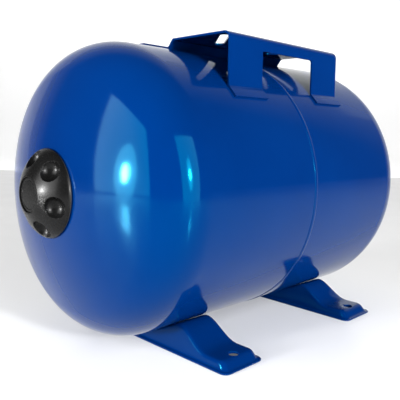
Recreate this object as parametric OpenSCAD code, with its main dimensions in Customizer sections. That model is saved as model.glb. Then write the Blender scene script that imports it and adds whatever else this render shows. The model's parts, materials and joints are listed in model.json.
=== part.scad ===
// Horizontal expansion vessel of the 24 litre class, with two welded feet and a pump bracket.
// X runs along the tank: the air valve is at the -X end, the water flange at the +X end.
// Z is up, and the origin is on the floor below the middle of the overall length.

/* [Tank] */
// Outer diameter of the tank
tank_d = 280; // [270:1:290]
// Length of the cylindrical part, seam in its middle
tank_cyl_l = 288; // [270:2:300]
// Crown radius of both heads
crown_r = 280; // [270:1:300]
// Knuckle radius between crown and cylinder
knuckle_r = 50; // [45:1:55]
// Thickness of the tank's sheet
wall = 1.2; // [1:0.1:1.6]
// Height of the tank's axis above the floor
axis_z = 150; // [148:1:160]
// Place of the middle seam along X
seam_x = -12; // [-14:1:-10]

/* [Feet] */
// Distance between the two feet, along X
foot_pitch = 195; // [180:1:210]
// Width of a foot along X
foot_w = 51; // [48:1:54]
// Length of a foot across the tank
foot_l = 276; // [272:1:280]
// Distance between a foot's two bolt holes
foot_hole_pitch = 246; // [244:1:248]
// Diameter of a bolt hole in a foot
foot_hole_d = 9.5; // [8.5:0.5:11]
// Height of the flat ears that the bolt holes are in
ear_h = 9; // [8:0.5:10]

/* [Pump bracket] */
// Length of the bracket along the tank
bracket_l = 175; // [165:1:180]
// Width of the bracket over its outer legs
bracket_w = 203; // [198:1:206]
// Height of the platform's upper face above the floor
platform_z = 299; // [298:1:302]
// Width of the window in each outer leg
window_w = 82; // [70:1:90]
// Height of the window's upper edge above the floor
window_top_z = 285; // [280:1:287]
// Width of every slot in the platform
slot_w = 9; // [7:0.5:10]
// Thickness of the sheet of the bracket and the feet
sheet = 2; // [1.5:0.5:2.5]

/* [Water flange] */
// Outer diameter of the flange ring and the counter flange
flange_d = 146; // [140:1:148]
// Bolt circle diameter
flange_pcd = 122; // [120:1:124]
// Number of bolts
flange_bolts_n = 6; // [4:1:8]
// Outer diameter of the G1 connection thread
nipple_d = 33.24; // [33:0.01:33.25]
// Bore of the connection
nipple_bore_d = 26; // [24:0.5:27]

/* [Cover cap] */
// Diameter of the cap at its rim
cap_d = 80; // [78:1:84]
// Height of the cap from its rim to its front shoulder
cap_h = 18; // [17:0.5:20]
// Wall thickness of the cap
cap_wall = 2.4; // [2:0.1:3]
// Turn of the finger dimples about the tank's axis, in degrees
dimple_turn = 13.5; // [0:0.5:60]

/* [Hidden] */

tank_blue = [0.02, 0.26, 0.62];
zinc = [0.75, 0.76, 0.74];
brass = [0.78, 0.62, 0.3];
rubber_black = [0.08, 0.08, 0.08];
cap_black = [0.12, 0.12, 0.12];

tank_r = tank_d/2;
touch_gap = 0.15;       // air left between a welded sheet and the tank's skin

// Heads: all places along the axis are measured from the seam, outwards.
knuckle_c = tank_r - knuckle_r;
crown_a = asin(knuckle_c/(crown_r - knuckle_r));
crown_c = tank_cyl_l/2 - (crown_r - knuckle_r)*cos(crown_a);
joggle_l = 9;
weld_root_w = 2.4;
weld_crown_w = 4.6;
weld_crown_h = 0.6;
weld_relief_w = 5.4;

// Valve well in the air end, hidden by the cover cap
well_r = 28;
well_floor_r = 22;
well_floor = crown_c + crown_r - 14;
valve_hole_r = 6.3;
boss_r = 14;
boss_bore_r = 6.1;
boss_top = well_floor + 9;
seal_t = 1;
hex_t = 2.5;
hex_af = 17;
neck_r = 3.85;
neck_l = 6;
stem_shank_r = 6;
stem_bore_r = 2.6;
stem_inner_end = well_floor - 7;
hex_top = boss_top + seal_t + hex_t;
neck_top = hex_top + neck_l;

// Valve core, pin and spring inside the stem
core_r = 2.55;
core_bottom = neck_top - 11;
core_top = neck_top - 0.8;
core_shoulder = core_bottom + 3;
core_wide_r = 1.5;
core_guide_r = 0.95;
pin_r = 0.7;
pin_top = neck_top - 0.4;
pin_collar_z = core_shoulder + 5.4;
plunger_r = 2.1;
seat_seal_t = 1.8;
seat_gap = 0.2;
spring_r = 1.12;
spring_wire_r = 0.2;
spring_turns = 5;

// Dust cap on the valve's neck
dust_r = 5;
dust_bottom = hex_top + 0.5;
dust_ceiling = neck_top + 0.75;
dust_top = dust_ceiling + 0.9;
dust_seal_t = 0.5;

// Cover cap
cap_rim_z = crown_c + sqrt(crown_r*crown_r - cap_d*cap_d/4) + 1.65;
cap_power = 1.5;
cap_front_r = 16.5;
cap_full_h = cap_h/pow(1 - pow(cap_front_r/(cap_d/2), cap_power), 1/cap_power);
disc_r = 15.2;
disc_recess = 2.1;
disc_t = 1.2;
cap_seal_r = [37.2, 39.2];
cap_seal_t = 0.8;
hub_r = boss_r + 0.08;
hub_wall = 2.4;
hub_end = well_floor + 2;
dimple_n = 6;
dimple_ball_r = 10.2;
dimple_r = 33.3;
dimple_z = cap_rim_z + 12.2;
dimple_wall = 2.2;

// Water end
seat_r = flange_d/2 + 2;
seat_z = crown_c + sqrt(crown_r*crown_r - seat_r*seat_r);
mouth_r = 49;
ring_t = 10;
collar_r = 55;
collar_t = 3;
neck_in_r = 44;
bag_r = 98;
bag_wall = 2.5;
bag_end = -150;
bag_shoulder = 130;
flange_t = 4;
hub_rise = 6;
hub_foot_r = 38;
hub_top_r = 31;
ring_face = seat_z + ring_t;
flange_in = ring_face + collar_t;
flange_out = flange_in + flange_t;
hub_face = flange_out + hub_rise;
overall_half = cap_rim_z + cap_h - seam_x;
nipple_end = overall_half - seam_x;
nipple_shoulder_r = 20;
nipple_shoulder_t = 3;
nipple_chamfer = 1.5;
bolt_r = 4;
bolt_hole_r = 4.5;
bolt_l = 16;
bolt_head_t = 5.3;
bolt_head_af = 13;
washer_r = 8;
washer_t = 1.6;
washer_hole_r = 4.2;

// Feet
foot_lip = 3;
foot_lip_t = 1.8;
foot_corner_r = 7;
foot_crest_y = 69;
foot_ear_y = 108;
foot_end_y = foot_l/2 - foot_lip - sheet;
foot_taper = 0.12;      // how much a side wall leans in for each millimetre of height

// Bracket
bend_r = 7.5;
valley_w = 32;
valley_lean = 5;
weld_flange_a = 50.8;    // angle from the top of the tank to the weld flange's tip
weld_flange_inset = 3;
diagonal_slot = [[41, 42], [76, 84]];
cross_slot = [27.5, 76.5, 30];

// Points of an arc about c, from angle a0 to a1
function arc(c, r, a0, a1, n) = [for (i = [0:n]) c + r*[cos(a0 + (a1 - a0)*i/n), sin(a0 + (a1 - a0)*i/n)]];

// Head outline from the cylinder's end to radius r_end, in [radius, place along the axis], set in by o
function head(o, r_end) = concat(
    arc([knuckle_c, tank_cyl_l/2], knuckle_r - o, 0, 90 - crown_a, 14),
    arc([0, crown_c], crown_r - o, 90 - crown_a, acos(r_end/(crown_r - o)), 8));

function reversed(list) = [for (i = [len(list)-1:-1:0]) list[i]];

// Lays a part that is drawn along +Z on the tank's axis: side -1 points to the air end, 1 to the water end
module on_axis(side) {
    translate([seam_x, 0, axis_z]) rotate([0, side*90, 0]) children();
}

module tube(r_out, r_in, z0, z1, fn = 64) {
    translate([0, 0, z0]) difference() {
        cylinder(r = r_out, h = z1 - z0, $fn = fn);
        translate([0, 0, -1]) cylinder(r = r_in, h = z1 - z0 + 2, $fn = fn);
    }
}

module hexagon(af, z0, z1) {
    translate([0, 0, z0]) cylinder(r = af/2/cos(30), h = z1 - z0, $fn = 6);
}

// Tank

module front_shell() {
    outer = concat([[tank_r, weld_root_w/2]], head(0, well_r),
        [[well_floor_r, well_floor], [valve_hole_r, well_floor]]);
    inner = concat([[tank_r - wall, weld_root_w/2]], head(wall, well_r + wall),
        [[well_floor_r + wall, well_floor - wall], [valve_hole_r, well_floor - wall]]);
    color(tank_blue) on_axis(-1) rotate_extrude($fn = 180) polygon(concat(outer, reversed(inner)));
}

module rear_shell() {
    step_r = tank_r - wall - touch_gap;
    joggle = [[step_r, -joggle_l], [step_r, weld_root_w/2 + 0.4], [tank_r, weld_root_w/2 + 0.4]];
    outer = concat(joggle, head(0, seat_r), [[mouth_r, seat_z]]);
    inner = concat([[step_r - wall, -joggle_l], [step_r - wall, weld_root_w/2 + 3], [tank_r - wall, 10]],
        head(wall, seat_r + wall), [[seat_r, seat_z - wall], [mouth_r, seat_z - wall]]);
    color(tank_blue) on_axis(1) rotate_extrude($fn = 180) polygon(concat(outer, reversed(inner)));
}

module seam_weld() {
    crown = [for (a = [0:20:180]) [tank_r + 0.05 + weld_crown_h*sin(a), weld_crown_w/2*cos(a)]];
    root_r = tank_r - wall - touch_gap + 0.05;
    half = weld_root_w/2 - 0.05;
    root = [[tank_r + 0.05, -half], [root_r, -half], [root_r, half], [tank_r + 0.05, half]];
    color(tank_blue) on_axis(1) rotate_extrude($fn = 180) polygon(concat(crown, root));
}

// Feet

// Height of a foot's upper face at a place y from the middle
function foot_top(y) =
    abs(y) <= foot_crest_y ? axis_z - sqrt(pow(tank_r + touch_gap, 2) - y*y)
    : abs(y) <= foot_ear_y ? ear_h + (foot_top(foot_crest_y) - ear_h)
        * (1 + cos(180*(abs(y) - foot_crest_y)/(foot_ear_y - foot_crest_y)))/2
    : ear_h;

// Side view of a foot in [y, z], sunk by d and shortened by d at its ends
function foot_side(d) = concat(
    [[-foot_end_y - 4 + d, -0.01], [-foot_end_y + d, 5 - d], [-foot_end_y + 4 + d, ear_h - d]],
    [for (y = [-foot_ear_y:3:foot_ear_y]) [y, foot_top(y) - d]],
    [[foot_end_y - 4 - d, ear_h - d], [foot_end_y - d, 5 - d], [foot_end_y + 4 - d, -0.01]]);

// The solid under a foot's upper face, with its side walls set in by d
module foot_block(d) {
    half = foot_w/2 - foot_lip - d;
    top = 40;
    intersection() {
        rotate([90, 0, 90]) linear_extrude(foot_w, center = true) polygon(foot_side(d));
        rotate([90, 0, 0]) linear_extrude(foot_l, center = true)
            polygon([[-half, 0], [half, 0], [half - foot_taper*top, top], [-half + foot_taper*top, top]]);
    }
}

module rounded_plate(w, l, r, t) {
    linear_extrude(t) union() {
        square([w - 2*r, l], center = true);
        square([w, l - 2*r], center = true);
        for (x = [-1, 1], y = [-1, 1]) translate([x*(w/2 - r), y*(l/2 - r)]) circle(r, $fn = 32);
    }
}

module pressed_foot(side) {
    inner_w = foot_w - 2*foot_lip - 2*sheet;
    translate([seam_x + side*foot_pitch/2, 0, 0]) difference() {
        union() {
            foot_block(0);
            rounded_plate(foot_w, foot_l, foot_corner_r, foot_lip_t);
        }
        foot_block(sheet);
        translate([0, 0, -1]) linear_extrude(foot_lip_t + 2)
            square([inner_w, 2*foot_end_y], center = true);
        for (y = [-1, 1]) translate([0, y*foot_hole_pitch/2, -1])
            cylinder(d = foot_hole_d, h = ear_h + 10, $fn = 48);
    }
}

module air_end_foot() {
    color(tank_blue) pressed_foot(-1);
}

module flange_end_foot() {
    color(tank_blue) pressed_foot(1);
}

// Bracket

// Half of the bracket's upper or outer face in [y, z], from the weld flange's tip to the valley on the ridge
function bracket_outer() = let (
    leg = bracket_w/2,
    weld_r = tank_r + touch_gap + sheet,
    floor_z = axis_z + tank_r + touch_gap + sheet)
    concat(arc([0, axis_z], weld_r, 90 - weld_flange_a, acos(leg/weld_r), 4),
        arc([leg - bend_r, platform_z - bend_r], bend_r, 0, 90, 8),
        [[valley_w/2 + valley_lean + 2, platform_z], [valley_w/2 + valley_lean, platform_z - 0.7],
         [valley_w/2 + 0.5, floor_z - 0.2]],
        arc([0, axis_z], weld_r, acos((valley_w/2 - 1)/weld_r), 89.5, 4));

// The same for its lower or inner face
function bracket_inner() = let (
    leg = bracket_w/2 - sheet,
    weld_r = tank_r + touch_gap,
    floor_z = axis_z + tank_r + touch_gap,
    under = platform_z - sheet)
    concat(arc([0, axis_z], weld_r, 90 - weld_flange_a, acos(leg/weld_r), 4),
        arc([leg + sheet - bend_r, platform_z - bend_r], bend_r - sheet, 0, 90, 8),
        [[valley_w/2 + valley_lean + 3.2, under], [valley_w/2 + valley_lean + 1.4, under - 0.8],
         [valley_w/2 + 2.2, floor_z - 0.9]],
        arc([0, axis_z], weld_r, acos((valley_w/2 + 0.2)/weld_r), 89.5, 4));

// The same points on the other side of the middle
function mirrored(list) = [for (p = list) [-p[0], p[1]]];

// Slot of the platform's slot width between two points
module slot(p, q) {
    along = q - p;
    translate([(p[0] + q[0])/2, (p[1] + q[1])/2, 0]) rotate(atan2(along[1], along[0]))
        linear_extrude(sheet + 6) union() {
            square([norm(along), slot_w], center = true);
            for (s = [-1, 1]) translate([s*norm(along)/2, 0]) circle(d = slot_w, $fn = 32);
        }
}

// Ring round the seam weld that keeps the bracket's sheet off its crown
module weld_relief() {
    translate([0, 0, axis_z]) rotate([0, 90, 0])
        tube(tank_r + 0.05 + weld_crown_h + touch_gap, tank_r - wall, -weld_relief_w/2, weld_relief_w/2, 180);
}

module pump_bracket() {
    z_cut = platform_z - sheet - 3;
    cross_half = (cross_slot[2] - slot_w)/2;
    color(tank_blue) translate([seam_x, 0, 0]) difference() {
        rotate([90, 0, 90]) linear_extrude(bracket_l, center = true)
            polygon(concat(bracket_outer(), reversed(mirrored(bracket_outer())),
                mirrored(bracket_inner()), reversed(bracket_inner())));
        weld_relief();
        for (y = [-1, 1]) {
            translate([0, y*bracket_w/2, (window_top_z + axis_z)/2])
                cube([window_w, 40, window_top_z - axis_z], center = true);
            translate([0, y*(bracket_w/2 + 10), axis_z + 20])
                cube([window_w + 2*weld_flange_inset, 20 - 0.2, 2*80], center = true);
            for (x = [-1, 1]) {
                translate([0, 0, z_cut]) slot([x*diagonal_slot[0][0], y*diagonal_slot[0][1]],
                    [x*diagonal_slot[1][0], y*diagonal_slot[1][1]]);
                translate([0, 0, z_cut]) slot([x*cross_slot[0], y*(cross_slot[1] - cross_half)],
                    [x*cross_slot[0], y*(cross_slot[1] + cross_half)]);
            }
        }
    }
}

// Water flange

module flange_ring() {
    color(tank_blue) on_axis(1) difference() {
        tube(flange_d/2, mouth_r, seat_z + 0.05, ring_face, 128);
        for (i = [0:flange_bolts_n - 1]) rotate(i*360/flange_bolts_n) translate([flange_pcd/2, 0, 0])
            cylinder(r = bolt_r + 0.05, h = nipple_end, $fn = 32);
    }
}

module membrane() {
    neck_out = ring_face + 0.05;
    // Radius of the bag's outer face at a place between its closed end and its shoulder
    bag_cap = [for (a = [0:6:90]) [bag_r*sin(a), bag_end + bag_r*0.7*(1 - cos(a))]];
    bag_neck = [for (i = [0:10]) let (s = (1 - cos(18*i))/2)
        [bag_r + (neck_in_r + bag_wall - bag_r)*s, bag_shoulder + (seat_z - 6 - bag_shoulder)*i/10]];
    outer = concat(bag_cap, bag_neck, [[neck_in_r + bag_wall, neck_out], [collar_r, neck_out],
        [collar_r, flange_in - 0.05], [neck_in_r, flange_in - 0.05]]);
    inner_cap = [for (a = [90:-6:0]) [(bag_r - bag_wall)*sin(a),
        bag_end + bag_wall + (bag_r - bag_wall)*0.7*(1 - cos(a))]];
    inner_neck = [for (i = [10:-1:0]) let (s = (1 - cos(18*i))/2)
        [bag_r - bag_wall + (neck_in_r - bag_r + bag_wall)*s,
         bag_shoulder + (seat_z - 6 - bag_shoulder)*i/10]];
    color(rubber_black) on_axis(1) rotate_extrude($fn = 120) polygon(concat(outer, inner_neck, inner_cap));
}

module counter_flange() {
    hole = nipple_d/2 + 0.05;
    color(zinc) on_axis(1) difference() {
        rotate_extrude($fn = 128) polygon([[hole, hub_face - flange_t], [hub_top_r - 1, hub_face - flange_t],
            [hub_foot_r - 1, flange_in], [flange_d/2 - 0.6, flange_in], [flange_d/2, flange_in + 0.6],
            [flange_d/2, flange_out - 0.6], [flange_d/2 - 0.6, flange_out], [hub_foot_r + 1, flange_out],
            [hub_top_r + 1, hub_face], [hole, hub_face]]);
        for (i = [0:flange_bolts_n - 1]) rotate(i*360/flange_bolts_n) translate([flange_pcd/2, 0, 0])
            cylinder(r = bolt_hole_r, h = nipple_end, $fn = 32);
    }
}

module connection_nipple() {
    r = nipple_d/2;
    bore = nipple_bore_d/2;
    start = hub_face - flange_t;
    step = hub_face + 0.05;
    color(zinc) on_axis(1) rotate_extrude($fn = 96) polygon([[bore, start], [r, start], [r, step],
        [nipple_shoulder_r, step], [nipple_shoulder_r, step + nipple_shoulder_t],
        [r, step + nipple_shoulder_t],
        [r, nipple_end - nipple_chamfer], [r - nipple_chamfer, nipple_end], [bore, nipple_end]]);
}

module flange_bolts() {
    head_z = flange_out + washer_t + 0.1;
    color(zinc) on_axis(1) for (i = [0:flange_bolts_n - 1]) rotate(i*360/flange_bolts_n)
        translate([flange_pcd/2, 0, 0]) {
            hexagon(bolt_head_af, head_z, head_z + bolt_head_t);
            translate([0, 0, head_z - bolt_l]) cylinder(r = bolt_r, h = bolt_l + 0.5, $fn = 32);
        }
}

module flange_washers() {
    color(zinc) on_axis(1) for (i = [0:flange_bolts_n - 1]) rotate(i*360/flange_bolts_n)
        translate([flange_pcd/2, 0, flange_out + 0.05]) tube(washer_r, washer_hole_r, 0, washer_t, 32);
}

// Air valve

module valve_boss() {
    color(zinc) on_axis(-1) tube(boss_r, boss_bore_r, well_floor + 0.05, boss_top);
}

module valve_seal() {
    color(rubber_black) on_axis(-1)
        tube(hex_af/2 - 0.3, boss_bore_r, boss_top + 0.02, boss_top + seal_t - 0.02);
}

module valve_stem() {
    color(brass) on_axis(-1) difference() {
        union() {
            translate([0, 0, stem_inner_end])
                cylinder(r = stem_shank_r, h = hex_top - hex_t - stem_inner_end + 0.5, $fn = 48);
            hexagon(hex_af, hex_top - hex_t, hex_top);
            translate([0, 0, hex_top - 0.5]) cylinder(r = neck_r, h = neck_l + 0.5, $fn = 48);
        }
        translate([0, 0, stem_inner_end - 1]) cylinder(r = stem_bore_r, h = 60, $fn = 48);
    }
}

module valve_core() {
    color(brass) on_axis(-1) difference() {
        tube(core_r, core_guide_r, core_bottom, core_top, 32);
        translate([0, 0, core_shoulder]) cylinder(r = core_wide_r, h = 20, $fn = 32);
    }
}

module valve_pin() {
    plunger_top = core_bottom - seat_gap - seat_seal_t;
    color(brass) on_axis(-1) union() {
        translate([0, 0, plunger_top - 1]) cylinder(r = pin_r, h = pin_top - plunger_top + 1, $fn = 24);
        translate([0, 0, plunger_top - 1.4]) cylinder(r = plunger_r, h = 1.4 - 0.02, $fn = 32);
        translate([0, 0, pin_collar_z]) cylinder(r = core_wide_r - 0.25, h = 0.8, $fn = 32);
    }
}

module valve_seat_seal() {
    top = core_bottom - seat_gap;
    color(rubber_black) on_axis(-1) tube(plunger_r, pin_r + 0.03, top - seat_seal_t, top, 32);
}

module valve_spring() {
    steps = 14;
    sides = 8;
    rings = spring_turns*steps;
    z0 = core_shoulder + spring_wire_r + 0.02;
    rise = pin_collar_z - core_shoulder - 2*spring_wire_r - 0.06;
    points = [for (i = [0:rings], k = [0:sides - 1])
        let (turn = 360*i/steps, a = 360*k/sides, r = spring_r + spring_wire_r*cos(a))
        [r*cos(turn), r*sin(turn), z0 + rise*i/rings + spring_wire_r*sin(a)]];
    walls = [for (i = [0:rings - 1], k = [0:sides - 1]) let (n = (k + 1)%sides)
        [i*sides + k, i*sides + n, (i + 1)*sides + n, (i + 1)*sides + k]];
    ends = [[for (k = [sides - 1:-1:0]) k], [for (k = [0:sides - 1]) rings*sides + k]];
    color(zinc) on_axis(-1) polyhedron(points, concat(walls, ends));
}

module dust_cap() {
    color(cap_black) on_axis(-1) difference() {
        union() {
            translate([0, 0, dust_bottom]) cylinder(r = dust_r, h = dust_top - dust_bottom - 0.6, $fn = 48);
            translate([0, 0, dust_top - 0.6]) cylinder(r1 = dust_r, r2 = dust_r - 0.6, h = 0.6, $fn = 48);
        }
        translate([0, 0, dust_bottom - 1])
            cylinder(r = neck_r + 0.08, h = dust_ceiling - dust_bottom + 1, $fn = 48);
        for (i = [0:11]) rotate(i*30) translate([dust_r + 0.35, 0, dust_bottom - 1])
            cylinder(r = 0.7, h = 20, $fn = 16);
    }
}

module dust_cap_seal() {
    color(rubber_black) on_axis(-1) translate([0, 0, dust_ceiling - 0.1 - dust_seal_t])
        cylinder(r = neck_r - 0.1, h = dust_seal_t, $fn = 32);
}

// Cover cap

// Cap outline in [radius, place along the axis] from its rim to radius r_end, set in by o
function cap_outline(o, r_end) = let (rim = cap_d/2 - o, n = 20) [for (i = [0:n])
    let (r = rim + (r_end - rim)*pow(i/n, 1.6))
    [r, cap_rim_z + (cap_full_h - o)*pow(max(0, 1 - pow(r/rim, cap_power)), 1/cap_power)]];

module dimple_balls(r) {
    for (i = [0:dimple_n - 1]) rotate(dimple_turn + i*360/dimple_n)
        translate([dimple_r, 0, dimple_z]) sphere(r, $fn = 64);
}

module cover_cap() {
    front = cap_rim_z + cap_h;
    disc_floor = front - disc_recess;
    ceiling = disc_floor - cap_wall;
    inside = [for (p = cap_outline(cap_wall, cap_front_r)) [p[0], min(p[1], ceiling)]];
    color(cap_black) on_axis(-1) difference() {
        union() {
            rotate_extrude($fn = 120) polygon(concat(cap_outline(0, cap_front_r), [[disc_r + 0.3, front],
                [disc_r + 0.3, disc_floor], [0, disc_floor], [0, ceiling]], reversed(inside)));
            intersection() {
                rotate_extrude($fn = 120)
                    polygon(concat([[0, cap_rim_z]], cap_outline(0, cap_front_r), [[0, front]]));
                dimple_balls(dimple_ball_r + dimple_wall);
                tube(cap_d, hub_r + 1, cap_rim_z, disc_floor);
            }
            tube(hub_r + hub_wall, hub_r, hub_end, ceiling + 0.5);
        }
        dimple_balls(dimple_ball_r);
    }
}

module cap_disc() {
    floor_z = cap_rim_z + cap_h - disc_recess;
    color(cap_black) on_axis(-1) translate([0, 0, floor_z + 0.02]) cylinder(r = disc_r, h = disc_t, $fn = 96);
}

module cap_seal() {
    color(rubber_black) on_axis(-1) tube(cap_seal_r[1], cap_seal_r[0],
        cap_rim_z - 0.15 - cap_seal_t, cap_rim_z - 0.15, 96);
}

front_shell();
rear_shell();
seam_weld();
air_end_foot();
flange_end_foot();
pump_bracket();
flange_ring();
membrane();
counter_flange();
connection_nipple();
flange_bolts();
flange_washers();
valve_boss();
valve_seal();
valve_stem();
valve_core();
valve_pin();
valve_seat_seal();
valve_spring();
dust_cap_seal();
dust_cap();
cap_seal();
cover_cap();
cap_disc();
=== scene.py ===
import json
import math

import bmesh
import bpy
import numpy as np
from mathutils import Matrix, Vector


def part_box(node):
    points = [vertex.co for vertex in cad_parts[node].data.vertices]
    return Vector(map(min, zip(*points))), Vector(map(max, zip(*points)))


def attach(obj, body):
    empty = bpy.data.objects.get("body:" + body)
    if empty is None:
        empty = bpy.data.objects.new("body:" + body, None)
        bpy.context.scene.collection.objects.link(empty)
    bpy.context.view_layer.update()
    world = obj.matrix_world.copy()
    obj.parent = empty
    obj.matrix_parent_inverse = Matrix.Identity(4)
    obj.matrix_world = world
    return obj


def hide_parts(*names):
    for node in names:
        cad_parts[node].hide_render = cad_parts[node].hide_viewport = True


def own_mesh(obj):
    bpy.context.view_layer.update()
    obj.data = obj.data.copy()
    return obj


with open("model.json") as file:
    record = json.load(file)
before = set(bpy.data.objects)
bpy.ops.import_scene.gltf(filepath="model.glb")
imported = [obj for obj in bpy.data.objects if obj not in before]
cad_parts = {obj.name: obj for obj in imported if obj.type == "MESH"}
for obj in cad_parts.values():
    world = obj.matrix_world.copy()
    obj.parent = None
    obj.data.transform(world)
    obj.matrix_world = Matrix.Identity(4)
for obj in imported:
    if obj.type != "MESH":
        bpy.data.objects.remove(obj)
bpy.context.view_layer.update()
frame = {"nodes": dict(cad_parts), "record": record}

# Lengths below are in millimetres, and MM turns them into Blender's metres.
MM = 0.001


def node_mm(node):
    """Lowest and highest corner of a CAD node, in millimetres."""
    low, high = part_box(node)
    return low / MM, high / MM


# The tank: its axis runs along X, and s is the distance from the seam towards either end
seam_low, seam_high = node_mm("seam_weld")
shell_low, shell_high = node_mm("front_shell")
SEAM_X = (seam_low.x + seam_high.x) / 2
AXIS_Z = (seam_low.z + seam_high.z) / 2
TANK_R = (shell_high.z - shell_low.z) / 2
AIR_END, WATER_END = -1, 1
WALL = 1.2
TOUCH_GAP = 0.15
CYLINDER_L = 288
CROWN_R = 280
KNUCKLE_R = 50
KNUCKLE_C = TANK_R - KNUCKLE_R
CROWN_ANGLE = math.asin(KNUCKLE_C / (CROWN_R - KNUCKLE_R))
CROWN_C = CYLINDER_L / 2 - (CROWN_R - KNUCKLE_R) * math.cos(CROWN_ANGLE)

# Outline helpers


def arc(centre, radius, start, end, steps):
    """Points of an arc from angle start to end, in radians."""
    angles = np.linspace(start, end, steps + 1)
    return [(centre[0] + radius * math.cos(a), centre[1] + radius * math.sin(a)) for a in angles]


def rounded(points, steps=5):
    """A closed outline with its corners filleted: each point is (x, y) or (x, y, radius)."""
    outline = []
    count = len(points)
    for i, point in enumerate(points):
        corner = np.array(point[:2], float)
        radius = point[2] if len(point) > 2 else 0
        if radius <= 0:
            outline.append(tuple(corner))
            continue
        back = np.array(points[i - 1][:2], float) - corner
        ahead = np.array(points[(i + 1) % count][:2], float) - corner
        back_l, ahead_l = np.linalg.norm(back), np.linalg.norm(ahead)
        back, ahead = back / back_l, ahead / ahead_l
        half = math.acos(max(-1.0, min(1.0, float(back @ ahead)))) / 2
        reach = min(radius / math.tan(half), 0.48 * back_l, 0.48 * ahead_l)
        radius = reach * math.tan(half)
        middle = back + ahead
        centre = corner + middle / np.linalg.norm(middle) * radius / math.sin(half)
        first, last = corner + back * reach - centre, corner + ahead * reach - centre
        turn = math.atan2(first[0] * last[1] - first[1] * last[0], float(first @ last))
        start = math.atan2(first[1], first[0])
        outline += arc(centre, radius, start, start + turn, steps)
    return outline


def head(inset, end_r, knuckle_steps=28, crown_steps=24):
    """Outline of a head as (radius, s), from the cylinder's end to radius end_r."""
    knuckle = arc((KNUCKLE_C, CYLINDER_L / 2), KNUCKLE_R - inset, 0, math.pi / 2 - CROWN_ANGLE,
                  knuckle_steps)
    crown = arc((0, CROWN_C), CROWN_R - inset, math.pi / 2 - CROWN_ANGLE,
                math.acos(end_r / (CROWN_R - inset)), crown_steps)
    return knuckle + crown[1:]


# Mesh helpers


def finish_mesh(name, verts, faces, sharp=32):
    """A mesh object in metres from millimetre points, with clean normals and sharp creases."""
    mesh = bpy.data.meshes.new(name)
    mesh.from_pydata([tuple(c * MM for c in v) for v in verts], [], faces)
    work = bmesh.new()
    work.from_mesh(mesh)
    bmesh.ops.remove_doubles(work, verts=work.verts, dist=0.002 * MM)
    bmesh.ops.dissolve_degenerate(work, edges=work.edges, dist=0.0005 * MM)
    bmesh.ops.recalc_face_normals(work, faces=work.faces)
    work.to_mesh(mesh)
    work.free()
    piece = bpy.data.objects.new(name, mesh)
    bpy.context.scene.collection.objects.link(piece)
    shade(piece, sharp)
    return piece


def shade(piece, sharp):
    piece.data.polygons.foreach_set("use_smooth", [True] * len(piece.data.polygons))
    piece.data.set_sharp_from_angle(angle=math.radians(sharp))


def lathe_points(outline, side, segments):
    """Rings of points about the tank's axis: outline holds (radius, s)."""
    verts = []
    for i in range(segments):
        a = 2 * math.pi * i / segments
        verts += [(SEAM_X + side * s, r * math.sin(a), AXIS_Z + r * math.cos(a)) for r, s in outline]
    return verts


def ring_faces(rings, count, closed_rings=True, closed_count=True):
    """Quads between neighbouring rings of count points each."""
    faces = []
    for i in range(rings if closed_rings else rings - 1):
        j = (i + 1) % rings
        for k in range(count if closed_count else count - 1):
            m = (k + 1) % count
            faces.append((i * count + k, j * count + k, j * count + m, i * count + m))
    return faces


def lathe(name, outline, side, segments=192, sharp=32):
    """A solid of revolution about the tank's axis from a closed outline of (radius, s)."""
    return finish_mesh(name, lathe_points(outline, side, segments),
                       ring_faces(segments, len(outline)), sharp)


def evaluate(piece):
    """Applies the piece's modifiers."""
    graph = bpy.context.evaluated_depsgraph_get()
    mesh = bpy.data.meshes.new_from_object(piece.evaluated_get(graph))
    piece.modifiers.clear()
    old = piece.data
    piece.data = mesh
    bpy.data.meshes.remove(old)


def cut(piece, cutters, sharp=32):
    """Cuts closed cutter objects out of the piece and removes them."""
    for cutter in cutters:
        change = piece.modifiers.new("cut", "BOOLEAN")
        change.operation = "DIFFERENCE"
        change.solver = "EXACT"
        change.object = cutter
    evaluate(piece)
    for cutter in cutters:
        bpy.data.objects.remove(cutter)
    shade(piece, sharp)


def bevel(piece, width, segments=2, angle=50, sharp=32):
    change = piece.modifiers.new("bevel", "BEVEL")
    change.width = width * MM
    change.segments = segments
    change.limit_method = "ANGLE"
    change.angle_limit = math.radians(angle)
    change.use_clamp_overlap = True
    evaluate(piece)
    shade(piece, sharp)
    weigh = piece.modifiers.new("flat faces", "WEIGHTED_NORMAL")
    weigh.weight = 100
    weigh.keep_sharp = True
    evaluate(piece)


def prism(name, outline, low, high):
    """A closed prism along Z over an outline in X and Y."""
    count = len(outline)
    verts = [(x, y, z) for z in (low, high) for x, y in outline]
    faces = ring_faces(2, count, closed_rings=False)
    faces += [tuple(range(count)), tuple(range(2 * count - 1, count - 1, -1))]
    return finish_mesh(name, verts, faces)


# Materials


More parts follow.
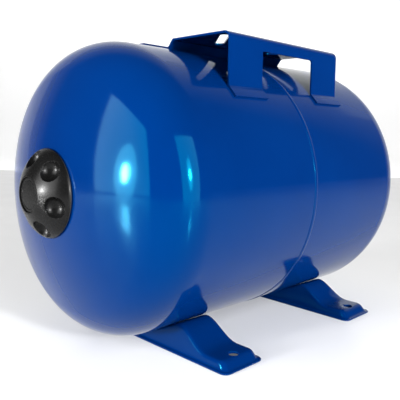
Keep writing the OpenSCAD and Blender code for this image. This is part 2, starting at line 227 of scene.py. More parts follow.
class Shader:
    """A node material built from a Principled shader and procedural textures."""

    def __init__(self, name, **constants):
        self.material = bpy.data.materials.new(name)
        self.material.use_nodes = True
        self.tree = self.material.node_tree
        self.principled = self.tree.nodes["Principled BSDF"]
        self.place = self.tree.nodes.new("ShaderNodeTexCoord").outputs["Object"]
        for socket, value in constants.items():
            self.principled.inputs[socket.replace("_", " ")].default_value = value

    def noise(self, scale, detail=3.0, stretch=None):
        place = self.place
        if stretch:
            mapping = self.tree.nodes.new("ShaderNodeMapping")
            mapping.inputs["Scale"].default_value = stretch
            self.tree.links.new(place, mapping.inputs["Vector"])
            place = mapping.outputs["Vector"]
        node = self.tree.nodes.new("ShaderNodeTexNoise")
        node.inputs["Scale"].default_value = scale
        node.inputs["Detail"].default_value = detail
        self.tree.links.new(place, node.inputs["Vector"])
        return node.outputs["Fac"]

    def ramp(self, value, stops):
        """Colour or grey ramp over value, from [(position, colour)]."""
        node = self.tree.nodes.new("ShaderNodeValToRGB")
        elements = node.color_ramp.elements
        while len(elements) < len(stops):
            elements.new(0.5)
        for element, (position, colour) in zip(elements, stops):
            element.position = position
            element.color = (*colour, 1) if isinstance(colour, tuple) else (colour,) * 3 + (1,)
        self.tree.links.new(value, node.inputs["Fac"])
        return node.outputs["Color"]

    def connect(self, value, socket):
        self.tree.links.new(value, self.principled.inputs[socket])

    def bump(self, *layers):
        """Stacks bumps, each (height output, distance in millimetres, strength)."""
        normal = None
        for height, distance, strength in layers:
            node = self.tree.nodes.new("ShaderNodeBump")
            node.inputs["Distance"].default_value = distance * MM
            node.inputs["Strength"].default_value = strength
            self.tree.links.new(height, node.inputs["Height"])
            if normal:
                self.tree.links.new(normal, node.inputs["Normal"])
            normal = node.outputs["Normal"]
        self.connect(normal, "Normal")


def tank_paint():
    """Gloss blue powder coat: near-mirror gloss with a faint orange peel and uneven film."""
    shader = Shader("tank_paint", IOR=1.33, Specular_Tint=(0.0, 0.66, 1.0, 1))
    shader.connect(shader.ramp(shader.noise(9, 4), [(0.35, (0.0, 0.0165, 0.104)),
                                                    (0.7, (0.0, 0.0195, 0.117))]), "Base Color")
    shader.connect(shader.ramp(shader.noise(60, 5), [(0.3, 0.075), (0.75, 0.105)]), "Roughness")
    shader.bump((shader.noise(240, 2), 0.02, 0.12), (shader.noise(1400, 2), 0.004, 0.1))
    return shader.material


def cap_plastic():
    """Satin black moulding with a fine spark-eroded grain."""
    shader = Shader("cap_plastic", IOR=1.24)
    shader.connect(shader.ramp(shader.noise(35, 4), [(0.3, (0.0035, 0.0035, 0.0035)),
                                                     (0.75, (0.006, 0.006, 0.0062))]), "Base Color")
    shader.connect(shader.ramp(shader.noise(500, 3), [(0.3, 0.23), (0.75, 0.30)]), "Roughness")
    shader.bump((shader.noise(2600, 2), 0.02, 0.25), (shader.noise(120, 2), 0.03, 0.08))
    return shader.material


def zinc_plate():
    """Bright zinc plate with a faint blue and yellow passivation bloom."""
    shader = Shader("zinc_plate", Metallic=1.0)
    shader.connect(shader.ramp(shader.noise(90, 5), [(0.3, (0.56, 0.57, 0.59)), (0.5, (0.66, 0.66, 0.64)),
                                                     (0.72, (0.69, 0.66, 0.56))]), "Base Color")
    shader.connect(shader.ramp(shader.noise(300, 4), [(0.3, 0.2), (0.75, 0.36)]), "Roughness")
    shader.bump((shader.noise(900, 3), 0.01, 0.3))
    return shader.material


def valve_brass():
    """Turned brass with fine rings round the valve's axis."""
    shader = Shader("valve_brass", Metallic=1.0)
    shader.connect(shader.ramp(shader.noise(220, 4), [(0.3, (0.60, 0.40, 0.14)),
                                                      (0.75, (0.76, 0.55, 0.24))]), "Base Color")
    shader.connect(shader.ramp(shader.noise(700, 3), [(0.3, 0.2), (0.75, 0.34)]), "Roughness")
    shader.bump((shader.noise(900, 2, stretch=(6, 0.3, 0.3)), 0.01, 0.3))
    return shader.material


def spring_steel():
    shader = Shader("spring_steel", Metallic=1.0)
    shader.connect(shader.ramp(shader.noise(800, 3), [(0.3, (0.50, 0.50, 0.51)),
                                                      (0.7, (0.64, 0.64, 0.64))]), "Base Color")
    shader.connect(shader.ramp(shader.noise(1500, 2), [(0.3, 0.22), (0.7, 0.34)]), "Roughness")
    return shader.material


def rubber(name, grain):
    shader = Shader(name, IOR=1.5)
    shader.connect(shader.ramp(shader.noise(40, 4), [(0.3, (0.012, 0.012, 0.012)),
                                                     (0.75, (0.024, 0.023, 0.022))]), "Base Color")
    shader.connect(shader.ramp(shader.noise(200, 4), [(0.3, 0.6), (0.75, 0.8)]), "Roughness")
    shader.bump((shader.noise(grain, 3), 0.05, 0.4))
    return shader.material


def pale_paper(name, glow):
    """White studio paper with a slight sheen, lit a little from within to stay pale."""
    shader = Shader(name, IOR=1.3, Emission_Color=(1, 1, 1, 1), Emission_Strength=glow)
    shader.connect(shader.ramp(shader.noise(3, 3), [(0.3, (0.84, 0.84, 0.84)),
                                                    (0.7, (0.86, 0.86, 0.86))]), "Base Color")
    shader.connect(shader.ramp(shader.noise(8, 3), [(0.3, 0.22), (0.7, 0.26)]), "Roughness")
    return shader.material


MATERIALS = {
    "tank_paint": tank_paint(), "cap_plastic": cap_plastic(), "zinc_plate": zinc_plate(),
    "valve_brass": valve_brass(), "spring_steel": spring_steel(),
    "membrane_rubber": rubber("membrane_rubber", 700), "seal_rubber": rubber("seal_rubber", 2500),
}


def place(piece, body, slot, *nodes):
    """Rides the piece on its body, gives it its finish and lets it stand for the CAD nodes."""
    piece.data.materials.clear()
    piece.data.materials.append(MATERIALS[slot])
    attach(piece, body)
    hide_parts(*nodes)


# Tank

WELL_R, WELL_FLOOR_R = 28, 22
WELL_FLOOR = CROWN_C + CROWN_R - 14
VALVE_HOLE_R = 6.3
WELD_ROOT = 1.2


def front_shell():
    outer = [(TANK_R, WELD_ROOT)] + [(TANK_R, s) for s in (40, 90)] + head(0, WELL_R + 2.5)
    inner = [(TANK_R - WALL, WELD_ROOT)] + head(WALL, WELL_R + WALL + 1)
    well_outer = [(WELL_R, outer[-1][1] - 1.2), (WELL_FLOOR_R + 1, WELL_FLOOR + 0.6),
                  (WELL_FLOOR_R - 1.5, WELL_FLOOR), (VALVE_HOLE_R, WELL_FLOOR)]
    well_inner = [(WELL_FLOOR_R + WALL, WELL_FLOOR - WALL), (VALVE_HOLE_R, WELL_FLOOR - WALL)]
    outline = outer + well_outer + (inner + well_inner)[::-1]
    place(lathe("front_shell_skin", outline, AIR_END, 256), "vessel", "tank_paint", "front_shell")


FLANGE_R = (node_mm("flange_ring")[1].y - node_mm("flange_ring")[0].y) / 2
SEAT_R = FLANGE_R + 2
SEAT_S = CROWN_C + math.sqrt(CROWN_R ** 2 - SEAT_R ** 2)
MOUTH_R = 49


def rear_shell():
    joggle_r = TANK_R - WALL - TOUCH_GAP
    joggle = [(joggle_r, -9), (joggle_r, 1.6), (TANK_R - 0.3, 1.6), (TANK_R, 1.9)]
    outer = joggle + [(TANK_R, s) for s in (40, 90)] + head(0, SEAT_R + 1) + [
        (SEAT_R - 1, SEAT_S), (MOUTH_R, SEAT_S)]
    inner = [(joggle_r - WALL, -9), (joggle_r - WALL, 4.2), (TANK_R - WALL, 10)] + head(
        WALL, SEAT_R + WALL) + [(SEAT_R, SEAT_S - WALL), (MOUTH_R, SEAT_S - WALL)]
    place(lathe("rear_shell_skin", outer + inner[::-1], WATER_END, 256),
          "vessel", "tank_paint", "rear_shell")


def seam_weld():
    """Girth weld: a low crown with fine ripples along its run."""
    ripples, per_ripple = 300, 5
    crown_half, crown_h, root_half = 2.3, 0.6, WELD_ROOT - 0.05
    root_r = TANK_R - WALL - TOUCH_GAP + 0.05
    verts = []
    segments = ripples * per_ripple
    for i in range(segments):
        a = 2 * math.pi * i / segments
        height = crown_h * (0.93 + 0.07 * math.cos(a * ripples))
        ring = [(TANK_R + 0.05 + height * math.sin(t), crown_half * math.cos(t))
                for t in np.linspace(0, math.pi, 9)]
        ring += [(TANK_R + 0.05, -root_half), (root_r, -root_half), (root_r, root_half),
                 (TANK_R + 0.05, root_half)]
        verts += [(SEAM_X + s, r * math.sin(a), AXIS_Z + r * math.cos(a)) for r, s in ring]
    place(finish_mesh("seam_weld_bead", verts, ring_faces(segments, 13)),
          "vessel", "tank_paint", "seam_weld")


# Feet

SHEET = 2.0
FOOT_LIP_HALF_X, FOOT_LIP_HALF_Y = 25.5, 138.0
FOOT_LIP_T = 1.8
FOOT_CORNER_R = 7.0
FOOT_CREST_Y, FOOT_EAR_Y, EAR_H = 69.0, 108.0, 9.0
FOOT_BASE_X, FOOT_BASE_Y = 22.5, 137.0
FOOT_LEAN_X, FOOT_LEAN_Y = 0.12, 8 / 9
FOOT_HOLE_Y, FOOT_HOLE_R = 123.0, 4.75


def foot_profile(y):
    """Height of the foot's upper face on the tank's arc, down the flank and over the ear."""
    y = abs(y)
    crest = AXIS_Z - math.sqrt((TANK_R + TOUCH_GAP) ** 2 - min(y, FOOT_CREST_Y) ** 2)
    if y <= FOOT_CREST_Y:
        return crest
    fall = min(1.0, (y - FOOT_CREST_Y) / (FOOT_EAR_Y - FOOT_CREST_Y))
    return EAR_H + (crest - EAR_H) * (1 + math.cos(math.pi * fall)) / 2


def foot_height(y):
    """The same with its crest eased by a short running mean."""
    offsets = (-5, -3, -1, 1, 3, 5)
    return sum(foot_profile(y + d) for d in offsets) / len(offsets) - 0.05


def foot_ring(half_x, half_y, corner):
    """Plan ring of a foot: fixed stations along the middle, gathered corners at both ends."""
    middle_y = 100.0
    corner = max(0.0, min(corner, half_x - 0.01))
    stretch = half_y - corner
    side = list(np.arange(-middle_y, middle_y + 0.1, 2.5))
    tail = [middle_y + (stretch - middle_y) * t for t in np.linspace(0, 1, 9)[1:]]
    right = [(half_x, y) for y in [-t for t in reversed(tail)] + side + tail]
    turn = arc((half_x - corner, half_y - corner), corner, 0, math.pi / 2, 8)[1:]
    end = [(x, half_y) for x in np.linspace(half_x - corner, -(half_x - corner), 9)[1:-1]]
    quarter = right + turn + end + [(-x, y) for x, y in reversed(turn)]
    return quarter + [(-x, -y) for x, y in quarter]


def foot_skin(inset, bend_r, skirt_r):
    """Rings of one face of the pressed sheet, from its hem upwards to the ridge line."""
    rings = []

    def wall_ring(height_of, extra=0.0, pull=0.0):
        """A ring whose height depends on y: extra spreads it outwards, pull draws it in."""
        base_corner = FOOT_CORNER_R - 0.8 - inset
        level = height_of(FOOT_LIP_HALF_Y)
        plan = foot_ring(FOOT_BASE_X - inset + extra - pull,
                         FOOT_BASE_Y - FOOT_LEAN_Y * level - inset + extra - pull,
                         base_corner + extra - min(pull, base_corner - 0.5))
        ring = []
        for x, y in plan:
            z = height_of(y)
            ring.append((x * (1 - FOOT_LEAN_X * z / (FOOT_BASE_X - inset)), y, z))
        rings.append(ring)

    if skirt_r:
        for t in np.linspace(0, math.pi / 2, 5):
            z = FOOT_LIP_T + skirt_r * (1 - math.cos(t))
            wall_ring(lambda y, z=z: z, extra=skirt_r * (1 - math.sin(t)))
        foot_of_wall = FOOT_LIP_T + skirt_r
    else:
        wall_ring(lambda y: 0.0)
        foot_of_wall = 0.5
    for f in (0.35, 0.7):
        wall_ring(lambda y, f=f: foot_of_wall + f * (foot_height(y) - inset - bend_r - foot_of_wall))
    for t in np.linspace(0, math.pi / 2, 8):
        wall_ring(lambda y, t=t: foot_height(y) - inset - bend_r * (1 - math.sin(t)),
                  pull=bend_r * (1 - math.cos(t)))
    flat = FOOT_BASE_X - inset - bend_r
    for f in (0.2, 0.4, 0.6, 0.8, 0.9999):
        wall_ring(lambda y: foot_height(y) - inset, pull=bend_r + flat * f)
    return rings


def pressed_foot(name, node):
    low, high = node_mm(node)
    middle = (low.x + high.x) / 2
    lip = [foot_ring(FOOT_LIP_HALF_X - d, FOOT_LIP_HALF_Y - d, FOOT_CORNER_R - d) for d in (0.5, 0, 0, 0.5)]
    edge = [[(x, y, z) for x, y in ring] for ring, z in zip(lip, (0, 0.5, FOOT_LIP_T - 0.5, FOOT_LIP_T))]
    outer = edge + foot_skin(0, 2.8, 1.6)
    inner = foot_skin(SHEET, 1.2, 0)
    count = len(outer[0])
    verts = [(x + middle, y, z) for ring in inner[::-1] + outer for x, y, z in ring]
    rings = len(inner) + len(outer)
    foot = finish_mesh(name, verts, ring_faces(rings, count, closed_rings=False), sharp=40)
    cutters = []
    for side in (-1, 1):
        rim = rounded([(FOOT_HOLE_R + 5, EAR_H), (FOOT_HOLE_R, EAR_H, 0.5), (FOOT_HOLE_R, 0)])[1:-1]
        outline = [(0, 0)] + [(FOOT_HOLE_R, 0)] + rim[::-1] + [
            (rim[0][0] + 0.3, EAR_H), (rim[0][0] + 0.3, 20), (0, 20)]
        verts = []
        for i in range(64):
            a = 2 * math.pi * i / 64
            verts += [(middle + r * math.cos(a), side * FOOT_HOLE_Y + r * math.sin(a), z) for r, z in outline]
        cutters.append(finish_mesh("hole_cutter", verts, ring_faces(64, len(outline))))
    cut(foot, cutters, 40)
    place(foot, "vessel", "tank_paint", node)


# Pump bracket

bracket_low, bracket_high = node_mm("pump_bracket")
PLATFORM_Z = bracket_high.z
LEG_Y = 101.5
BEND_R = 7.5
WELD_FLANGE_ANGLE = math.radians(50.8)
WINDOW_HALF, WINDOW_TOP = 41.0, 285.0
SLOT_W = 9.0
DIAGONAL_SLOT = ((41, 42), (76, 84))
CROSS_SLOT_X, CROSS_SLOT_Y, CROSS_SLOT_L = 27.5, 76.5, 30.0
VALLEY_HALF = 16.0


def bracket_face(offset):
    """Half of one face of the bent sheet in (y, z), offset into the sheet, tip to ridge."""
    weld_r = TANK_R + TOUCH_GAP + SHEET - offset
    leg = LEG_Y - offset
    tip = math.pi / 2 - WELD_FLANGE_ANGLE
    meet = math.acos(leg / weld_r)
    flange = arc((0, AXIS_Z), weld_r, tip, meet - 0.035, 5)
    corner_z = AXIS_Z + weld_r * math.sin(meet)
    top = PLATFORM_Z - offset
    valley_r = VALLEY_HALF + 0.6 * offset
    valley_floor = arc((0, AXIS_Z), weld_r, math.acos(valley_r / weld_r), math.pi / 2, 5)
    lean = offset * 0.45
    points = [(*p, 0) for p in flange]
    points += [(leg, corner_z, 2.2 + offset), (leg, top, BEND_R - offset),
               (VALLEY_HALF + 6.5 + lean, top, 2 + offset), (*valley_floor[0], 3.5 - offset)]
    outline = rounded([(flange[0][0], flange[0][1] - 1)] + points + valley_floor[1:], steps=8)
    return outline[1:-1]


def pump_bracket():
    """Bent sheet with its windows, slots and a small rounding on every cut edge."""
    outer, inner = bracket_face(0), bracket_face(SHEET)
    outline = outer + [(-y, z) for y, z in reversed(outer)]
    outline += [(-y, z) for y, z in inner] + list(reversed(inner))
    x_low, x_high = bracket_low.x, bracket_high.x
    verts = [(x, y, z) for x in (x_low, x_high) for y, z in outline]
    count = len(outline)
    faces = ring_faces(2, count, closed_rings=False)
    faces += [tuple(range(count)), tuple(range(2 * count - 1, count - 1, -1))]
    bracket = finish_mesh("pump_bracket_sheet", verts, faces, 40)
    relief_half, relief_r = 2.7, TANK_R + 0.8
    relief = [(TANK_R - WALL, -relief_half), (relief_r, -relief_half), (relief_r, relief_half),
              (TANK_R - WALL, relief_half)]
    cutters = [lathe("relief_cutter", relief, WATER_END, 256)]
    for side in (-1, 1):
        window = rounded([(-WINDOW_HALF, 150), (WINDOW_HALF, 150), (WINDOW_HALF, WINDOW_TOP, 2.5),
                          (-WINDOW_HALF, WINDOW_TOP, 1.2)])
        inner_y, outer_y = 82, 125
        verts = [(SEAM_X + x, side * y, z) for y in (inner_y, outer_y) for x, z in window]
        size = len(window)
        faces = ring_faces(2, size, closed_rings=False)
        faces += [tuple(range(size)), tuple(range(2 * size - 1, size - 1, -1))]
        cutters.append(finish_mesh("window_cutter", verts, faces))
        for end in (-1, 1):
            start = Vector((end * DIAGONAL_SLOT[0][0], side * DIAGONAL_SLOT[0][1]))
            stop = Vector((end * DIAGONAL_SLOT[1][0], side * DIAGONAL_SLOT[1][1]))
            cutters.append(slot_cutter(start, stop))
            reach = (CROSS_SLOT_L - SLOT_W) / 2
            middle = Vector((end * CROSS_SLOT_X, side * CROSS_SLOT_Y))
            cutters.append(slot_cutter(middle - Vector((0, reach)), middle + Vector((0, reach))))
    cut(bracket, cutters, 40)
    bevel(bracket, 0.3, 2, 50, 40)
    place(bracket, "vessel", "tank_paint", "pump_bracket")


def slot_cutter(start, stop):
    """A stadium prism through the platform."""
    along = math.atan2(stop.y - start.y, stop.x - start.x)
    outline = arc(stop, SLOT_W / 2, along - math.pi / 2, along + math.pi / 2, 12)
    outline += arc(start, SLOT_W / 2, along + math.pi / 2, along + 3 * math.pi / 2, 12)
    return prism("slot_cutter", [(SEAM_X + x, y) for x, y in outline], PLATFORM_Z - 6, PLATFORM_Z + 4)


# Water end

FLANGE_PCD_R, FLANGE_BOLTS = 61.0, 6
RING_FACE = SEAT_S + 10
FLANGE_IN = RING_FACE + 3
FLANGE_OUT = FLANGE_IN + 4
HUB_FACE = FLANGE_OUT + 6
NIPPLE_R, NIPPLE_BORE_R = 16.62, 13.0
NIPPLE_END = node_mm("connection_nipple")[1].x - SEAM_X


def bolt_places():
    for i in range(FLANGE_BOLTS):
        a = 2 * math.pi * i / FLANGE_BOLTS
        yield -FLANGE_PCD_R * math.sin(a), AXIS_Z - FLANGE_PCD_R * math.cos(a)


def axial_cylinders(radius, start, end, segments=32):
    """One cutter along X at each bolt place."""
    cutters = []
    for y, z in bolt_places():
        verts = []
        for x in (SEAM_X + start, SEAM_X + end):
            verts += [(x, y + radius * math.cos(a), z + radius * math.sin(a))
                      for a in np.linspace(0, 2 * math.pi, segments, endpoint=False)]
        faces = ring_faces(2, segments, closed_rings=False)
        faces += [tuple(range(segments)), tuple(range(2 * segments - 1, segments - 1, -1))]
        cutters.append(finish_mesh("bolt_cutter", verts, faces))
    return cutters


def flange_ring():
    outline = rounded([(MOUTH_R, SEAT_S + 0.05), (FLANGE_R, SEAT_S + 0.05), (FLANGE_R, RING_FACE, 1.2),
                       (MOUTH_R, RING_FACE, 0.8)])
    ring = lathe("flange_ring_body", outline, WATER_END, 160)
    cut(ring, axial_cylinders(4.05, SEAT_S - 5, RING_FACE + 5))
    place(ring, "vessel", "tank_paint", "flange_ring")


def counter_flange():
    hole = NIPPLE_R + 0.05
    outline = rounded([(hole, HUB_FACE - 4), (30, HUB_FACE - 4, 2), (37, FLANGE_IN, 2),
                       (FLANGE_R, FLANGE_IN, 0.8), (FLANGE_R, FLANGE_OUT, 0.8),
                       (39, FLANGE_OUT, 4), (32, HUB_FACE, 2.5), (hole, HUB_FACE)])
    flange = lathe("counter_flange_plate", outline, WATER_END, 160)
    cut(flange, axial_cylinders(4.5, FLANGE_IN - 5, FLANGE_OUT + 5))
    place(flange, "vessel", "zinc_plate", "counter_flange")


def connection_nipple():
    """Nipple with its shoulder and a G1 thread of 11 turns to the inch."""
    pitch, depth, segments, step = 25.4 / 11, 1.3, 96, 0.2
    shoulder_r, shoulder_start = 20.0, HUB_FACE + 0.05
    thread_start = shoulder_start + 3.0
    lead = 1.5
    stations = np.arange(thread_start + 0.1, NIPPLE_END + step / 2, step)
    stations[-1] = NIPPLE_END
    fixed = [(NIPPLE_BORE_R, HUB_FACE - 4), (NIPPLE_R, HUB_FACE - 4), (NIPPLE_R, shoulder_start),
             (shoulder_r - 0.5, shoulder_start), (shoulder_r, shoulder_start + 0.5),
             (shoulder_r, thread_start - 0.5), (shoulder_r - 0.5, thread_start)]
    verts = []
    for i in range(segments):
        a = i / segments
        ring = list(fixed) + [(NIPPLE_R - depth, thread_start)]
        for s in stations:
            phase = ((s - thread_start) / pitch - a) % 1.0
            wave = min(1.0, max(0.0, 1.35 * (1 - abs(2 * phase - 1)) - 0.18))
            limit = NIPPLE_R - max(0.0, lead - (NIPPLE_END - s))
            ring.append((min(NIPPLE_R - depth * (1 - wave), limit), s))
        ring += [(NIPPLE_BORE_R + 0.5, NIPPLE_END), (NIPPLE_BORE_R, NIPPLE_END - 0.5)]
        angle = 2 * math.pi * a
        verts += [(SEAM_X + s, r * math.sin(angle), AXIS_Z + r * math.cos(angle)) for r, s in ring]
    nipple = finish_mesh("connection_nipple_thread", verts, ring_faces(segments, len(verts) // segments), 50)
    place(nipple, "vessel", "zinc_plate", "connection_nipple")


def revolve_at(name, rings, y, z, sharp=32):
    """A bolt-like solid along X at (y, z): rings are functions from an angle to (radius, s)."""
    segments = 96
    verts = []
    for i in range(segments):
        a = 2 * math.pi * i / segments
        for ring in rings:
            r, s = ring(a) if callable(ring) else ring
            verts.append((SEAM_X + s, y + r * math.sin(a), z + r * math.cos(a)))
    return finish_mesh(name, verts, ring_faces(segments, len(rings)), sharp)


def flange_fixings():
    """Hexagon bolts with chamfered heads over plain washers."""
    head_start = FLANGE_OUT + 1.7
    head_h, across, shank_r, shank_l = 5.3, 13.0, 4.0, 16.0
    top = head_start + head_h
    crown_r = across / 2 * 0.96

    def hexagon_r(a):
        return across / 2 / math.cos((a % (math.pi / 3)) - math.pi / 6)

    def shoulder(a):
        r = hexagon_r(a) - 0.05
        return r, top - (r - crown_r) * math.tan(math.radians(30))

    tip, tip_chamfer = head_start - shank_l, 0.6
    for number, (y, z) in enumerate(bolt_places(), 1):
        bolt = revolve_at(f"flange_bolt_{number}", [
            (0, tip), (shank_r - tip_chamfer, tip), (shank_r, tip + tip_chamfer),
            (shank_r, head_start), (across / 2 - 0.3, head_start),
            lambda a: (hexagon_r(a) - 0.05, head_start + 0.25), shoulder, (crown_r, top), (0, top)], y, z)
        place(bolt, "vessel", "zinc_plate", "flange_bolts")
        washer = [(r, s + FLANGE_OUT + 0.05) for r, s in rounded(
            [(4.2, 0), (8, 0, 0.25), (8, 1.6, 0.35), (4.2, 1.6, 0.25)], 3)]
        place(revolve_at(f"flange_washer_{number}", washer, y, z), "vessel", "zinc_plate", "flange_washers")


# Cover cap

cap_low = node_mm("cover_cap")[0]
CAP_R = 40.0
CAP_H = 18.0
CAP_FRONT = SEAM_X - cap_low.x
CAP_RIM = CAP_FRONT - CAP_H
CAP_WALL = 2.4
CAP_POWER = 1.5
CAP_FRONT_R = 16.5
CAP_FULL_H = CAP_H / (1 - (CAP_FRONT_R / CAP_R) ** CAP_POWER) ** (1 / CAP_POWER)
DISC_R, DISC_T, DISC_RECESS = 15.2, 1.2, 2.1
HUB_R, HUB_WALL = 14.08, 2.4
HUB_END = WELL_FLOOR + 2
DIMPLES, DIMPLE_TURN = 6, math.radians(13.5)
DIMPLE_BALL_R, DIMPLE_R, DIMPLE_RISE = 10.2, 33.3, 12.2
DIMPLE_WALL = 2.2


def cap_outline(inset, steps):
    """The cap's rounded cone as (radius, s), from its rim to its front shoulder."""
    rim = CAP_R - inset
    points = []
    for i in range(steps + 1):
        r = rim + (CAP_FRONT_R - rim) * (i / steps) ** 1.7
        fall = max(0.0, 1 - (r / rim) ** CAP_POWER) ** (1 / CAP_POWER)
        points.append((r, CAP_RIM + (CAP_FULL_H - inset) * fall))
    return points


def dimple_centres():
    """Places of the finger dimples' balls, as (s, y, height above the axis)."""
    for i in range(DIMPLES):
        a = DIMPLE_TURN + i * math.pi * 2 / DIMPLES
        yield np.array((CAP_RIM + DIMPLE_RISE, DIMPLE_R * math.sin(a), DIMPLE_R * math.cos(a)))


def push_dimples(points, inward, ball_r, ease):
    """Moves points inside a dimple's ball along inward to its far side, with an eased edge."""
    points = points.copy()
    for centre in dimple_centres():
        away = points - centre
        inside = ball_r - np.linalg.norm(away, axis=1)
        along = np.sum(away * inward, axis=1)
        rest = np.sum(away * away, axis=1) - ball_r ** 2
        depth = -along + np.sqrt(np.maximum(along ** 2 - rest, 0))
        ramp = np.clip(inside / ease, 0, 1)
        move = np.where(inside > 0, depth * ramp * ramp * (3 - 2 * ramp), 0)
        points += inward * move[:, None]
    return points


def cover_cap():
    segments, steps = 540, 84
    front = CAP_FRONT
    disc_floor = front - DISC_RECESS
    ceiling = disc_floor - CAP_WALL
    outer = cap_outline(0, steps)
    inner = [(r, min(s, ceiling)) for r, s in cap_outline(CAP_WALL, 44)]
    slope = [np.array((outer[min(i + 1, steps)][0] - outer[max(i - 1, 0)][0],
                       outer[min(i + 1, steps)][1] - outer[max(i - 1, 0)][1])) for i in range(steps + 1)]
    normals = [(-v[1] / np.linalg.norm(v), v[0] / np.linalg.norm(v)) for v in slope]
    recess = [(CAP_FRONT_R - 0.6, front), (DISC_R + 0.6, front), (DISC_R + 0.3, front - 0.3),
              (DISC_R + 0.3, disc_floor), (0, disc_floor), (0, ceiling)]
    hub_chamfer = 0.4
    hub = [(HUB_R, ceiling), (HUB_R, HUB_END + hub_chamfer), (HUB_R + hub_chamfer, HUB_END),
           (HUB_R + HUB_WALL - hub_chamfer, HUB_END),
           (HUB_R + HUB_WALL, HUB_END + hub_chamfer), (HUB_R + HUB_WALL, ceiling)]
    rim = [(CAP_R - CAP_WALL + 0.3, CAP_RIM), (CAP_R - 0.4, CAP_RIM)]
    inside = [p for p in reversed(inner) if p[0] > HUB_R + HUB_WALL + 0.5 and p[1] > CAP_RIM + 0.01]
    outer[0] = (CAP_R, CAP_RIM + 0.2)
    count = len(outer) + len(recess) + len(hub) + len(inside) + len(rim)
    verts = np.zeros((segments, count, 3))
    for i in range(segments):
        a = 2 * math.pi * i / segments
        spin = np.array(((0, 1), (math.sin(a), 0), (math.cos(a), 0)))
        skin = np.array(outer) @ spin.T
        skin = push_dimples(skin, np.array(normals) @ spin.T, DIMPLE_BALL_R, 0.4)
        hollow = np.array(inside) @ spin.T
        down = np.tile((-1.0, 0.0, 0.0), (len(inside), 1))
        hollow = push_dimples(hollow, down, DIMPLE_BALL_R + DIMPLE_WALL, 0.9)
        hollow[:, 0] = np.maximum(hollow[:, 0], CAP_RIM + 0.05)
        verts[i] = np.vstack((skin, np.array(recess) @ spin.T, np.array(hub) @ spin.T, hollow,
                              np.array(rim) @ spin.T))
    flat = verts.reshape(-1, 3)
    points = [(SEAM_X - s, y, AXIS_Z + z) for s, y, z in flat]
    cap = finish_mesh("cover_cap_moulding", points, ring_faces(segments, count), 38)
    place(cap, "cover", "cap_plastic", "cover_cap")


def cap_disc():
    floor = CAP_FRONT - DISC_RECESS + 0.02
    groove_r = 12.6
    outline = rounded([(0, floor), (DISC_R, floor), (DISC_R, floor + DISC_T, 0.4),
                       (groove_r + 0.35, floor + DISC_T, 0.15), (groove_r, floor + DISC_T - 0.35, 0.1),
                       (groove_r - 0.35, floor + DISC_T, 0.15), (0, floor + DISC_T)], 4)
    place(lathe("cap_disc_insert", outline, AIR_END, 192), "cover", "cap_plastic", "cap_disc")


def valve_spring():
    """The valve core's coil spring, which shortens as the pin is pressed."""
    turns, steps, sides, coil_r, wire_r = 5, 32, 12, 1.12, 0.2
    low, high = node_mm("valve_spring")
    start, end = high.x - wire_r, low.x + wire_r
    count = turns * steps
    verts = []
    for i in range(count + 1):
        a = 2 * math.pi * i / steps
        along = start + (end - start) * i / count
        for k in range(sides):
            t = 2 * math.pi * k / sides
            r = coil_r + wire_r * math.cos(t)
            verts.append((along + wire_r * math.sin(t), r * math.cos(a), AXIS_Z + r * math.sin(a)))
    faces = ring_faces(count + 1, sides, closed_rings=False)
    last = count * sides
    faces += [tuple(range(sides))[::-1], tuple(range(last, last + sides))]
    wire = finish_mesh("valve_spring_wire", verts, faces, 60)
    place(wire, "vessel", "spring_steel", "valve_spring")
    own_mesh(wire)


# Camera: fitted to the view, in the vessel's own frame

CAMERA_AZIMUTH, CAMERA_ELEVATION, CAMERA_ROLL = -46.16, 4.67, 1.13
CAMERA_PLACE = (-457.4, -439.5, 207.1)
CAMERA_LENS, CAMERA_SHIFT = 48.54, (-0.057, -0.060)


def camera():
    data = bpy.data.cameras.new("camera")
    data.lens = CAMERA_LENS
    data.sensor_width = 36
    data.shift_x, data.shift_y = CAMERA_SHIFT
    data.clip_start = 0.02
    holder = bpy.data.objects.new("camera", data)
    bpy.context.scene.collection.objects.link(holder)
    azimuth, elevation, roll = map(math.radians, (CAMERA_AZIMUTH, CAMERA_ELEVATION, CAMERA_ROLL))
    back = Vector((math.sin(azimuth) * math.cos(elevation), -math.cos(azimuth) * math.cos(elevation),
                   math.sin(elevation)))
    level = (-back).cross(Vector((0, 0, 1))).normalized()
    upright = level.cross(-back)
    right = level * math.cos(roll) + upright * math.sin(roll)
    up = upright * math.cos(roll) - level * math.sin(roll)
    axes = Matrix((right, up, back)).transposed().to_4x4()
    holder.matrix_world = Matrix.Translation(Vector(CAMERA_PLACE) * MM) @ axes
    bpy.context.scene.camera = holder


# Studio: directions are azimuths round the vessel, 0 towards -Y and -90 towards -X

BACKDROP_AZIMUTH = math.radians(134)
FLOOR_HALF, FLOOR_DROP = 6.0, 0.0002
FLOOR_GLOW, SWEEP_GLOW = 0.12, 0.45
SWEEP_START, SWEEP_BEND_R, SWEEP_TOP, SWEEP_HALF = 2.0, 0.8, 3.2, 4.5
SKY_DIM, SKY_PALE = 0.05, 0.8


def softbox(name, shape, azimuth, elevation, distance, width, height, radiance):
    """An area light that faces the vessel, with the given radiance."""
    data = bpy.data.lights.new(name, "AREA")
    data.shape = shape
    data.size, data.size_y = width, height
    data.energy = radiance * math.pi * width * height
    light = bpy.data.objects.new(name, data)
    bpy.context.scene.collection.objects.link(light)
    a, e = math.radians(azimuth), math.radians(elevation)
    towards = Vector((math.sin(a) * math.cos(e), -math.cos(a) * math.cos(e), math.sin(e)))
    aim = Vector((SEAM_X * MM, 0, AXIS_Z * MM))
    light.location = aim + towards * distance
    light.rotation_euler = (-towards).to_track_quat("-Z", "Y").to_euler()
    light.visible_camera = False


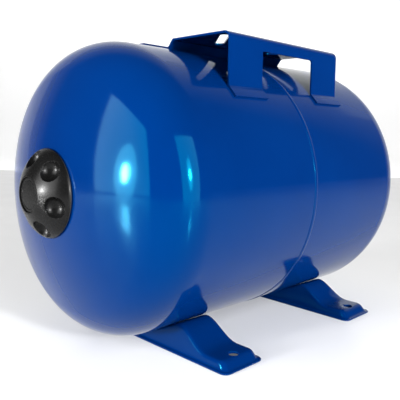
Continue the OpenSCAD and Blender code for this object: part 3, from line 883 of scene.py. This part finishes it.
def studio():
    """Pale floor, two softboxes with a bright lamp in each, a backdrop and a soft sky."""
    mesh = bpy.data.meshes.new("floor")
    signs = ((-1, -1), (1, -1), (1, 1), (-1, 1))
    corners = [(x * FLOOR_HALF, y * FLOOR_HALF, -FLOOR_DROP) for x, y in signs]
    mesh.from_pydata(corners, [], [(0, 1, 2, 3)])
    floor = bpy.data.objects.new("floor", mesh)
    bpy.context.scene.collection.objects.link(floor)
    mesh.materials.append(pale_paper("pale_floor", FLOOR_GLOW))
    softbox("softbox_left", "RECTANGLE", -97.7, 14, 1.9, 1.30, 1.22, 6.5)
    softbox("softbox_left_lamp", "ELLIPSE", -100.7, 3.8, 1.85, 0.10, 0.22, 360)
    softbox("softbox_left_halo", "ELLIPSE", -100.7, 3.8, 1.86, 0.34, 0.70, 10)
    softbox("softbox_right", "RECTANGLE", -7, 17, 1.9, 1.15, 1.5, 6.5)
    softbox("softbox_right_lamp", "ELLIPSE", -8.5, 12.8, 1.85, 0.10, 0.22, 360)
    softbox("softbox_right_halo", "ELLIPSE", -8.5, 12.8, 1.86, 0.30, 0.70, 10.5)
    sweep()
    sky()


def sweep():
    """White paper behind the vessel that curves up out of the floor."""
    bend_start = SWEEP_START + 0.3
    outline = [(SWEEP_START, 0.0005)]
    outline += arc((bend_start, SWEEP_BEND_R), SWEEP_BEND_R, -math.pi / 2, 0, 12)
    outline.append((bend_start + SWEEP_BEND_R, SWEEP_TOP))
    out = Vector((math.sin(BACKDROP_AZIMUTH), -math.cos(BACKDROP_AZIMUTH), 0))
    across = Vector((-out.y, out.x, 0))
    points = [out * r + Vector((0, 0, z)) + across * side * SWEEP_HALF
              for r, z in outline for side in (-1, 1)]
    mesh = bpy.data.meshes.new("sweep")
    mesh.from_pydata(points, [], [(2 * i, 2 * i + 1, 2 * i + 3, 2 * i + 2) for i in range(len(outline) - 1)])
    paper = bpy.data.objects.new("sweep", mesh)
    bpy.context.scene.collection.objects.link(paper)
    shade(paper, 60)
    mesh.materials.append(pale_paper("pale_sweep", SWEEP_GLOW))


def sky():
    """Sky that lights from behind and stays dim on the near side; the camera sees it white."""
    world = bpy.data.worlds.new("studio")
    bpy.context.scene.world = world
    world.use_nodes = True
    tree = world.node_tree
    background = tree.nodes["Background"]
    place_node = tree.nodes.new("ShaderNodeTexCoord")
    facing = tree.nodes.new("ShaderNodeVectorMath")
    facing.operation = "DOT_PRODUCT"
    facing.inputs[1].default_value = (math.sin(BACKDROP_AZIMUTH), -math.cos(BACKDROP_AZIMUTH), 0)
    tree.links.new(place_node.outputs["Generated"], facing.inputs[0])
    fade = tree.nodes.new("ShaderNodeMapRange")
    fade.inputs["From Min"].default_value = 0.35
    fade.inputs["From Max"].default_value = 0.8
    fade.inputs["To Min"].default_value = SKY_DIM
    fade.inputs["To Max"].default_value = SKY_PALE
    tree.links.new(facing.outputs["Value"], fade.inputs["Value"])
    path = tree.nodes.new("ShaderNodeLightPath")
    pale = tree.nodes.new("ShaderNodeMix")
    pale.inputs["B"].default_value = 1.0
    tree.links.new(path.outputs["Is Camera Ray"], pale.inputs["Factor"])
    tree.links.new(fade.outputs["Result"], pale.inputs["A"])
    tree.links.new(pale.outputs["Result"], background.inputs["Strength"])
    background.inputs["Color"].default_value = (1, 1, 1, 1)
    bpy.context.scene.view_settings.view_transform = "Standard"


camera()
studio()
front_shell()
rear_shell()
seam_weld()
pressed_foot("air_end_foot_pressing", "air_end_foot")
pressed_foot("flange_end_foot_pressing", "flange_end_foot")
pump_bracket()
flange_ring()
counter_flange()
connection_nipple()
flange_fixings()
cover_cap()
cap_disc()
valve_spring()

# The CAD nodes that stay in view take the finish of their slot in the record.
for row in frame["record"]["subparts"]:
    node_object = frame["nodes"][row["node"]]
    node_object.data.materials.clear()
    node_object.data.materials.append(MATERIALS[row["material_slot"]])
